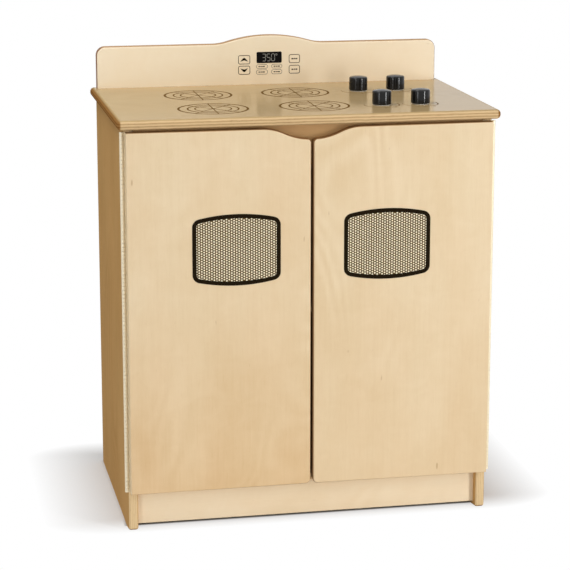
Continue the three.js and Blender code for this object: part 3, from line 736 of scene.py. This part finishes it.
# %% [markdown]
# ## The side panels
# A side panel is a board on edge whose front is rounded over and whose lower end is the
# foot. It is drawn as a plan section carried upwards: two front arcs, and at the back the
# step in which the thin back panel sits. Only the front points are rounded at the floor.

# %% Build the side panels
FOOT_ARC = 4.2 * MM
FOOT_ROUND = 3.9 * MM
FOOT_BACK = 20 * MM

back_low, back_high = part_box("back_panel")
for side, sign in SIDES:
    low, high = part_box(f"{side}_side_panel")
    inner, outer = sorted((abs(low.x), abs(high.x)))
    behind = low.y + FOOT_BACK
    arcs = [(inner, low.y, FOOT_ARC), (outer, low.y, FOOT_ARC)]
    rest = [(outer, behind, 0), (outer, high.y, 0), (back_high.x, high.y, 0),
            (back_high.x, back_low.y, 0), (inner, back_low.y, 0), (inner, behind, 0)]
    section = rounded_outline(arcs + rest) * [sign, 1]
    rounds = np.zeros((2, len(section)))
    rounds[0, :-len(rest)] = FOOT_ROUND
    # The sides' darker colours are painted shade
    add_piece(f"{side}_side_board",
              board_shell(section, low.z, high.z, rounds, "xyz", steps=6),
              boards["side_birch_painted_shade"], "cabinet", [f"{side}_side_panel"])

# %% [markdown]
# ## The cooktop
# The top is a thick board with a rounded nose on its front and sides and a plain cut back.
# At the two back corners the outline may only be drawn in sideways, so the nose runs out
# square and the faces between those two columns of points are the flat back.

# %% Build the cooktop
NOSE_ROUND = 6.8 * MM
TOP_CORNER = 8 * MM

low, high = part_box("cooktop")
top_outline = rounded_outline([(low.x, low.y, TOP_CORNER), (high.x, low.y, TOP_CORNER),
                               (high.x, high.y, 0), (low.x, high.y, 0)], steps=10)
top_out = outward(top_outline)
top_out[-2:] = [[1, 0], [-1, 0]]
# The cooktop's darker colours are painted shade
add_piece("cooktop_board",
          board_shell(top_outline, low.z, high.z, NOSE_ROUND, "xyz", steps=7, out=top_out),
          boards["lacquered_cooktop_painted_shade"], "cabinet", ["cooktop"])
top_z = high.z

# %% [markdown]
# ## The backsplash
# A board on edge, with round top corners and a low crest. Its foot is cut square where it
# stands on the cooktop, so the foot's two corners have no rounding.

# %% Build the backsplash
CREST = (14 * MM, 250 * MM, 90 * MM)
CREST_POINTS = 61
SHOULDER_CORNER = 15 * MM

low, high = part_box("backsplash")
shoulder_z = high.z - CREST[0]
crest_x = np.linspace(rise_reach(*CREST), -rise_reach(*CREST), CREST_POINTS)
splash_outline = rounded_outline([
    (low.x, low.z, 0), (high.x, low.z, 0), (high.x, shoulder_z, SHOULDER_CORNER),
    *sharp_rows(crest_x, shoulder_z + rise_height(crest_x, *CREST)),
    (low.x, shoulder_z, SHOULDER_CORNER),
], steps=10)
splash_out = outward(splash_outline)
splash_out[:2] = [[-1, 0], [1, 0]]
add_piece("backsplash_board",
          board_shell(splash_outline, low.y, high.y, EDGE_ROUND, "xzy", out=splash_out),
          boards["backsplash_birch"], "cabinet", ["backsplash"])
splash_y = low.y

# %% [markdown]
# ## The knobs
# A knob is a moulded cap: sides with the slight draft a mould needs, a soft edge and a
# slightly domed crown. It is a profile turned round the knob's own screw, so only the
# profile needs thought. The foot's chamfer is shaded as a crisp edge, since a soft one
# would bend the mirror images on the sides.

# %% Turn the knobs
KNOB_EDGE = 2.6 * MM
KNOB_EDGE_LEFT = 0.12
KNOB_DOME = 1.6 * MM
KNOB_DRAFT = 0.2 * MM
CROWN_START = 0.92
FOOT_CHAMFER = 0.8 * MM
KNOB_SIDES, KNOB_STEPS = 96, 10


def knob_profile(radius, height):
    """Radius and height pairs from the foot to the crown: a chamfer, a side that leans in by
    the draft, a quarter-round edge that stops a little short of level, and a parabola that
    rises by the dome to the axis."""
    edge = on_circle(np.linspace(0, math.pi / 2 - KNOB_EDGE_LEFT, KNOB_STEPS)) * KNOB_EDGE
    edge += (radius - KNOB_DRAFT - KNOB_EDGE, height - KNOB_DOME - KNOB_EDGE)
    share = np.linspace(CROWN_START, 0, KNOB_STEPS)
    end_r, end_h = edge[-1]
    crown = np.column_stack([end_r * share, end_h + (height - end_h) * (1 - share**2)])
    foot = [(0, 0), (radius - 2 * FOOT_CHAMFER, 0), (radius - FOOT_CHAMFER, 0),
            (radius, FOOT_CHAMFER)]
    return np.concatenate([foot, edge, crown])


knob_centres = []
for place in KNOB_PLACES:
    low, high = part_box(f"{place}_knob")
    centre = np.array((low + high).xy) / 2
    knob_centres.append(centre)
    cap = turned_shell(knob_profile((high.x - low.x) / 2, high.z - low.z), KNOB_SIDES)
    add_piece(f"{place}_knob_cap", repeated(cap, [(*centre, low.z)]),
              plain["black_knob_plastic"], f"{place}_knob_assembly",
              [f"{place}_knob"])

# %% [markdown]
# ## The strip hinges
# A strip hinge is two long leaves whose edges curl round one pin. The real knuckles are
# about six millimetres long, far too many for the solids, so the fine ones are made here:
# one knuckle is a short tube with a tab to its leaf, repeated at every second place.

# %% Build the strip hinges
KNUCKLE_PITCH = 6.2 * MM
KNUCKLE_GAP = 0.45 * MM
KNUCKLE_SIDES = 20
BARREL_OUTER = 3.2 * MM
BARREL_INNER = 1.6 * MM
TAB_END = 2 * MM
LEAF_THICKNESS = 0.8 * MM
LEAF_SCREWS = 8
HEAD_SIDES = 16
HEAD_PROFILE = np.array([(0, -0.5), (0.9, -0.5), (1.1, 0.0), (2.3, 0.05), (2.7, -0.1),
                         (2.2, -0.7), (0, -0.7)]) * MM


def flat_box(x0, x1, y0, y1, z0, z1):
    """A plain bar between two values along each axis, as a strip one step long."""
    front, back = (np.array([(x0, y), (x1, y)]) for y in (y0, y1))
    return swept_shell(front, back, z0, z1, False)


for side, sign in SIDES:
    pin_low, pin_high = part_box(f"{side}_hinge_pin")
    axis = np.array((pin_low + pin_high).xy) / 2
    foot_z, length = pin_low.z, pin_high.z - pin_low.z
    count = round(length / KNUCKLE_PITCH)
    pitch = length / count
    z0, z1 = foot_z + KNUCKLE_GAP / 2, foot_z + pitch - KNUCKLE_GAP / 2
    circle = ring(KNUCKLE_SIDES)
    barrel = swept_shell(axis + BARREL_OUTER * circle, axis + BARREL_INNER * circle, z0, z1, True)
    panel_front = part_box("left_side_panel")[0].y
    door_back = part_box(f"{side}_door")[1].y
    # The heads face the side on which the leaf can be seen when the door is open
    for leaf, first, body, root_y, facing, first_screw in (
            ("frame", 0, "cabinet", panel_front, -1, 0.35),
            ("door", 1, f"{side}_door_assembly", door_back, 1, 0.65)):
        node = f"{side}_hinge_{leaf}_leaf"
        low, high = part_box(node)
        face_y = root_y + facing * LEAF_THICKNESS
        edge_x = min(low.x, high.x, key=abs)
        plate_x = axis[0] - sign * (BARREL_OUTER + KNUCKLE_GAP)
        plate = flat_box(edge_x, plate_x, root_y, face_y, foot_z, foot_z + length)
        tab = flat_box(plate_x - sign * KNUCKLE_GAP, axis[0] - sign * TAB_END, root_y, face_y, z0, z1)
        places = [(0, 0, pitch * step) for step in range(first, count, 2)]
        knuckles = repeated(joined([barrel, tab]), places)
        add_piece(f"{side}_hinge_{leaf}_strip", joined([plate, knuckles]),
                  plain["plated_hinge"], body, [node])
        points, faces = turned_shell(HEAD_PROFILE, HEAD_SIDES)
        head = upright(points, "xzy") * [1, facing, 1], faces
        head_places = [((edge_x + plate_x) / 2, face_y, foot_z + length * share)
                       for share in (np.arange(LEAF_SCREWS) + first_screw) / LEAF_SCREWS]
        add_piece(f"{side}_hinge_{leaf}_screws", repeated(head, head_places),
                  plain["zinc_steel"], body)

# %% [markdown]
# ## The oven windows
# Each window is printed: a black band with bowed top and bottom, and inside it a brown
# field with a lattice of cream dots, like the mesh of an oven door. Every second column of
# dots is half a step higher. The dots are tiny raised hexagons, so they stay crisp in every
# view and cost only a few faces each.

# %% Print the windows
WINDOW_CORNER = 13 * MM
WINDOW_BULGE = 8 * MM
WINDOW_BAND = 6.5 * MM
BOW_END, BOW_POINTS = 0.8, 25
FIELD_INK = 0.15 * MM
INK_EDGE = 0.02 * MM
DOT_STEP = (3.96 * MM, 4.07 * MM)
DOT_COLUMNS, DOT_ROWS = np.arange(-17, 18), np.arange(-15, 16)
DOT_RADIUS = 1.38 * MM
DOT_FROM, DOT_TO = 0.06 * MM, 0.02 * MM
DOT_EDGE = 0.01 * MM
CORNER_CUT = 2.1 * WINDOW_BAND


def ink_shell(outline, low, high, edge=INK_EDGE):
    """A thin sheet of ink, standing upright."""
    return board_shell(outline, low, high, edge, "xzy", steps=1)


def window_edge(half_wide, half_high, inset):
    """The window's edge drawn in by an inset, turning left from the bottom's left end: a
    parabola under the bottom, then two round corners on the right side. Half a turn makes
    the top and the left side of them."""
    half_wide, half_high, corner = half_wide - inset, half_high - inset, WINDOW_CORNER - inset
    share = np.linspace(-BOW_END, BOW_END, BOW_POINTS)
    under = sharp_rows(half_wide * share, -half_high - WINDOW_BULGE * (1 - share**2))
    half = np.array([*under, (half_wide, -half_high, corner), (half_wide, half_high, corner)])
    return rounded_outline([*half, *half * [-1, -1, 1]], steps=8)


def dot_places(half_wide, half_high):
    """Places in the lattice that lie in the field: between its sides, under its bowed top
    and over its bottom, and inside a slanting cut across each corner."""
    column, row = np.meshgrid(DOT_COLUMNS, DOT_ROWS, indexing="ij")
    x = column * DOT_STEP[0]
    z = (row + 0.5 * (column % 2)) * DOT_STEP[1]
    field_wide = half_wide - WINDOW_BAND
    limit = half_high - WINDOW_BAND + WINDOW_BULGE * (1 - (x / field_wide) ** 2)
    inside = (np.abs(x) < field_wide + DOT_RADIUS / 2) & (np.abs(z) < limit + DOT_RADIUS / 3)
    inside &= np.abs(x) + np.abs(z) < half_wide + half_high - CORNER_CUT
    return np.column_stack([x[inside], np.zeros(inside.sum()), z[inside]])


for side, _ in SIDES:
    low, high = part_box(f"{side}_window_print")
    body = f"{side}_door_assembly"
    centre = np.array((low + high).xz) / 2
    half_wide = (high.x - low.x) / 2
    half_high = (high.z - low.z) / 2 - WINDOW_BULGE
    middle = window_edge(half_wide, half_high, WINDOW_BAND / 2) + centre
    band = ribbon_shell(middle, WINDOW_BAND, low.y, high.y, "xzy")
    add_piece(f"{side}_window_band", band, plain["black_ink"], body,
              [f"{side}_window_print"])
    field = window_edge(half_wide, half_high, WINDOW_BAND) + centre
    field_y = high.y - FIELD_INK
    add_piece(f"{side}_window_field", ink_shell(field, field_y, high.y),
              plain["window_brown"], body)
    dot = ink_shell(DOT_RADIUS * ring(6), field_y - DOT_FROM, field_y + DOT_TO, DOT_EDGE)
    places = dot_places(half_wide, half_high) + [centre[0], 0, centre[1]]
    add_piece(f"{side}_window_dots", repeated(dot, places), plain["window_cream"], body)

# %% [markdown]
# ## The burners
# A burner is drawn with three rings and three straight lines through its middle. Each is a
# thin strip of ink, a little under the height of the solid that it replaces.

# %% Print the burners
TOP_INK = 0.12 * MM
RING_SHARES = ((1.0, 3.6 * MM), (0.735, 2.6 * MM), (0.53, 2.3 * MM))
RING_SIDES = 96
SPOKE_DEGREES = (90, 50, -50)
SPOKE_WIDTH = 1.9 * MM
SPOKE_INK = 0.8 * TOP_INK


def top_ribbon(path, width, closed=False, ink=TOP_INK):
    """A strip of ink that lies on the cooktop."""
    return ribbon_shell(path, width, top_z, top_z + ink, "xyz", closed)


for place in KNOB_PLACES:
    low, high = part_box(f"{place}_burner_print")
    centre = np.array((low + high).xy) / 2
    radius = (high.x - low.x) / 2
    strips = [
        top_ribbon(centre + (share * radius - width / 2) * ring(RING_SIDES), width, True)
        for share, width in RING_SHARES
    ]
    for degrees in SPOKE_DEGREES:
        reach = (radius - SPOKE_WIDTH) * np.linspace(-1, 1, 3)[:, None]
        path = centre + reach * on_circle(math.radians(degrees))
        strips.append(top_ribbon(path, SPOKE_WIDTH, ink=SPOKE_INK))
    add_piece(f"{place}_burner_lines", joined(strips), plain["burner_ink"], "cabinet",
              [f"{place}_burner_print"])

# %% [markdown]
# ## Scales round the knobs
# Round each knob runs a printed arc that swells from thin to thick, open at the back, with
# two small marks outside it.

# %% Print the knob scales
SCALE_RADIUS = 28.5 * MM
SCALE_POINTS = 72
SCALE_ANGLES = np.radians(np.linspace(160, 375, SCALE_POINTS))
SCALE_WIDTHS = np.linspace(0.5, 1.9, SCALE_POINTS) * MM
MARK_DEGREES = (268, 296)
MARK_RADIUS = 35 * MM
MARK_WIDTH = 1.3 * MM
MARK_PATH = np.array([[-1.6, 0], [0, 0], [1.6, 0]]) * MM

scales = []
for centre in knob_centres:
    scales.append(top_ribbon(centre + SCALE_RADIUS * on_circle(SCALE_ANGLES), SCALE_WIDTHS))
    for degrees in MARK_DEGREES:
        mark = centre + MARK_RADIUS * on_circle(math.radians(degrees))
        scales.append(top_ribbon(mark + MARK_PATH, MARK_WIDTH))
add_piece("knob_scales", joined(scales), plain["burner_ink"], "cabinet")

# %% [markdown]
# ## The clock and its buttons
# The backsplash carries a printed clock: a black display with thin figures, two arrow
# buttons, two square ones and four small lozenges. The words on them are left out, and
# short plain strokes stand in their places.

# %% Print the display
PANEL_INK = 0.16 * MM
DISPLAY_INK = 0.25 * MM
FIGURE_INK = 0.34 * MM
DISPLAY = (-20.6 * MM, 23.2 * MM, 699.9 * MM, 719.2 * MM)
DISPLAY_CORNER, DISPLAY_EDGE = 2.2 * MM, 0.05 * MM
FIGURES, FIGURES_INSET = "350", 10.2 * MM
DIGIT_SIZE, DIGIT_STEP = np.array([5.4, 12.0]) * MM, 7.9 * MM
DEGREE_SIZE, DEGREE_CORNER, DEGREE_LINE = 2.4 * MM, 0.9 * MM, 0.6 * MM
DEGREE_BACK = 0.6 * MM
SEGMENT_WIDTH, SEGMENT_GAP = 0.85 * MM, 0.55 * MM
SEGMENTS = {"3": "abcdg", "5": "acdfg", "0": "abcdef"}
# Both ends of each segment, in widths and heights of a figure
SEGMENT_ENDS = {
    "a": ((0, 1), (1, 1)), "b": ((1, 0.5), (1, 1)), "c": ((1, 0), (1, 0.5)),
    "d": ((0, 0), (1, 0)), "e": ((0, 0), (0, 0.5)), "f": ((0, 0.5), (0, 1)),
    "g": ((0, 0.5), (1, 0.5)),
}


def panel_ribbon(path, width, closed=True, ink=PANEL_INK):
    """A strip of ink standing a little proud of the backsplash's face."""
    return ribbon_shell(path, width, splash_y - ink, splash_y, "xzy", closed)


def stroke(start, end, width, ink=PANEL_INK):
    """A straight strip between two points."""
    return panel_ribbon(np.linspace(start, end, 3), width, False, ink)


def digit_strokes(figure, foot):
    """The strokes of one figure on a display, each a gap short of both its ends."""
    strokes = []
    for segment in SEGMENTS[figure]:
        start, end = foot + np.array(SEGMENT_ENDS[segment]) * DIGIT_SIZE
        gap = SEGMENT_GAP * unit(end - start)
        strokes.append(stroke(start + gap, end - gap, SEGMENT_WIDTH, FIGURE_INK))
    return strokes


display = board_shell(rounded_box(*DISPLAY, DISPLAY_CORNER), splash_y - DISPLAY_INK, splash_y,
                      DISPLAY_EDGE, "xzy", steps=2)
add_piece("clock_display", display, plain["display_black"], "cabinet")
figure_x = DISPLAY[0] + FIGURES_INSET
figure_z = (DISPLAY[2] + DISPLAY[3] - DIGIT_SIZE[1]) / 2
figures = []
for figure in FIGURES:
    figures += digit_strokes(figure, (figure_x, figure_z))
    figure_x += DIGIT_STEP
degree_x, degree_z = figure_x - DEGREE_BACK, figure_z + DIGIT_SIZE[1]
degree = rounded_box(degree_x, degree_x + DEGREE_SIZE, degree_z - DEGREE_SIZE, degree_z,
                     DEGREE_CORNER, 3)
figures.append(panel_ribbon(degree, DEGREE_LINE, True, FIGURE_INK))
add_piece("clock_figures", joined(figures), plain["digit_grey"], "cabinet")

# %% Print the buttons
# Each button's left, right, foot and top, in millimetres from the stove's middle and floor
ARROW_BUTTONS = ((-52.1, -32.3, 699.2, 713.8), (-52.1, -32.3, 681.5, 695.6))
SQUARE_BUTTONS = ((36.2, 54.6, 699.3, 713.4), (36.2, 54.6, 681.2, 694.9))
LOZENGES = tuple((x0, x1, z0, z1) for x0, x1 in ((-20.9, -1.5), (5.5, 23.6))
                 for z0, z1 in ((690.9, 697.4), (680.9, 688.4)))
# A kind's buttons, corner and line width, and the strokes on it with their width
BUTTON_KINDS = (
    (ARROW_BUTTONS, 3.0, 1.0, (), 0.0),
    (SQUARE_BUTTONS, 3.0, 1.0, ((4.2, 7.6), (8.4, 10.4), (11.2, 14.4)), 2.0),
    (LOZENGES, 3.1, 0.55, ((3.6, 6.4), (7.2, 9.4), (10.2, 14.6)), 1.7),
)
ARROW_INK = 0.18 * MM
CHEVRON = np.array([[-6.6, -3.2], [0.0, -1.0], [6.6, -3.2], [2.6, 1.8], [0.0, 3.5], [-2.6, 1.8]])

lines = []
for boxes, corner, width, words, word_width in BUTTON_KINDS:
    for x0, x1, z0, z1 in np.array(boxes) * MM:
        lines.append(panel_ribbon(rounded_box(x0, x1, z0, z1, corner * MM), width * MM))
        for word in words:
            start, end = ((x0 + reach * MM, (z0 + z1) / 2) for reach in word)
            lines.append(stroke(start, end, word_width * MM))
add_piece("clock_button_lines", joined(lines), plain["panel_ink"], "cabinet")
arrows = []
for way, (x0, x1, z0, z1) in zip((1, -1), ARROW_BUTTONS):
    outline = (CHEVRON * [1, way] + [(x0 + x1) / 2, (z0 + z1) / 2]) * MM
    arrows.append(ink_shell(outline, splash_y - ARROW_INK, splash_y))
add_piece("clock_arrows", joined(arrows), plain["black_ink"], "cabinet")

# %% [markdown]
# ## The studio
# The floor is white paper that the camera sees as pure white except where the stove's
# shadow falls. Two upright soft boxes give the knobs their pair of highlights, the right
# one brighter, so the left side of the cabinet falls into shade.

# %% Floor and world
PAPER = (0.78, 0.78, 0.78, 1)
PAPER_ROUGHNESS = 0.9
PAPER_GLOW = 0.08
GLOW_EDGE = 0.005
SLIT_DEPTH = 0.013
FADE_WIDTH = 0.13
FLOOR_REACH = 12.0
SHADOW_SHIFT = (0.0, 0.035, 0)
SHADOW_SCALES = (1, 1.8, 0)
WORLD_LEVEL = 0.32

floor_mesh = bpy.data.meshes.new("studio_floor")
floor_corners = np.array([(-1, -1, 0), (1, -1, 0), (1, 1, 0), (-1, 1, 0)]) * FLOOR_REACH
floor_mesh.from_pydata(floor_corners.tolist(), [], [(0, 1, 2, 3)])
floor = new_object("studio_floor", floor_mesh)
floor_finish, floor_tree, floor_shader, floor_place = new_material("studio_paper")
foot_low, foot_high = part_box("left_side_panel")
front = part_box("toe_kick")[0].y + SLIT_DEPTH
FOOTPRINT = (-foot_low.x, (foot_high.y - front) / 2, 0)
FOOTPRINT_CENTRE = (0, (foot_high.y + front) / 2, 0)


def beyond_footprint(shift, scales):
    """The distance from a point of the floor to the stove's footprint: how far each
    coordinate lies outside the footprint's half size, never less than nothing, and the
    length of that. The footprint may be shifted and the distance scaled along each axis."""
    gap = floor_place["Object"]
    for operation, value in (("SUBTRACT", np.add(FOOTPRINT_CENTRE, shift).tolist()),
                             ("ABSOLUTE", (0, 0, 0)), ("SUBTRACT", FOOTPRINT),
                             ("MAXIMUM", (0, 0, 0)), ("MULTIPLY", scales)):
        gap = add_node(floor_tree, "ShaderNodeVectorMath", {0: gap, 1: value},
                       operation=operation)[0]
    return add_node(floor_tree, "ShaderNodeVectorMath", {0: gap}, operation="LENGTH")["Value"]


def seen_straight(tree):
    """One where a ray comes from the camera, from a reflection or through glass."""
    light = add_node(tree, "ShaderNodeLightPath")
    either = maths("MAXIMUM", light["Is Camera Ray"], light["Is Glossy Ray"])
    return maths("MAXIMUM", either, light["Is Transmission Ray"])


far = ramp(beyond_footprint(SHADOW_SHIFT, SHADOW_SCALES), 1 / FADE_WIDTH)
near = ramp(beyond_footprint((0, 0, 0), (1, 1, 0)), 1 / GLOW_EDGE)
seen = seen_straight(floor_tree)
glow = times(line(far, 1 - PAPER_GLOW, PAPER_GLOW), near)
feed(floor_shader, {
    "Base Color": mixed(times(far, seen), PAPER, BLACK),
    "Roughness": PAPER_ROUGHNESS,
    "Specular IOR Level": 0.0,
    "Emission Color": WHITE,
    "Emission Strength": times(seen, glow),
})
floor_mesh.materials.append(floor_finish)

world = bpy.data.worlds.new("studio_world")
bpy.context.scene.world = world
world.use_nodes = True
world_light = maths("MAXIMUM", seen_straight(world.node_tree), WORLD_LEVEL)
feed(world.node_tree.nodes["Background"], {"Color": WHITE, "Strength": world_light})
print("floor and world made")

# %% Lamps
AIM = (0.0, 0.0, 0.45)
TOP_AIM = (-0.1, 0.0, 0.66)
KNOB_AIM = (0.2, -0.05, 0.66)
# Each lamp's place and aim, its width and height in metres, and its watts
LAMPS = {
    "key_box": ((2.3, -2.9, 2.6), AIM, 1.0, 1.0, 26.0),
    "fill_box": ((-0.3, -3.9, 1.9), AIM, 2.0, 1.2, 8.0),
    "top_box": ((-0.75, -0.25, 2.2), TOP_AIM, 0.8, 0.8, 16.0),
    "right_strip": ((1.74, -2.18, 0.55), KNOB_AIM, 0.26, 0.98, 23.5),
    "left_strip": ((-1.6, -1.75, 0.55), KNOB_AIM, 0.22, 0.98, 6.8),
}

for name, (place, aim, wide, tall, watts) in LAMPS.items():
    data = bpy.data.lights.new(name, "AREA")
    data.shape = "RECTANGLE"
    data.size, data.size_y = wide, tall
    data.energy = watts
    lamp = new_object(name, data)
    lamp.visible_camera = False
    lamp.location = place
    # A lamp shines down its own -Z, so this turn points it at its aim
    away = np.subtract(place, aim)
    lamp.rotation_euler = (math.acos(away[2] / np.linalg.norm(away)), 0,
                           math.atan2(away[1], away[0]) + math.pi / 2)
bpy.context.scene.view_settings.view_transform = "Standard"
print("lamps:", len(LAMPS))
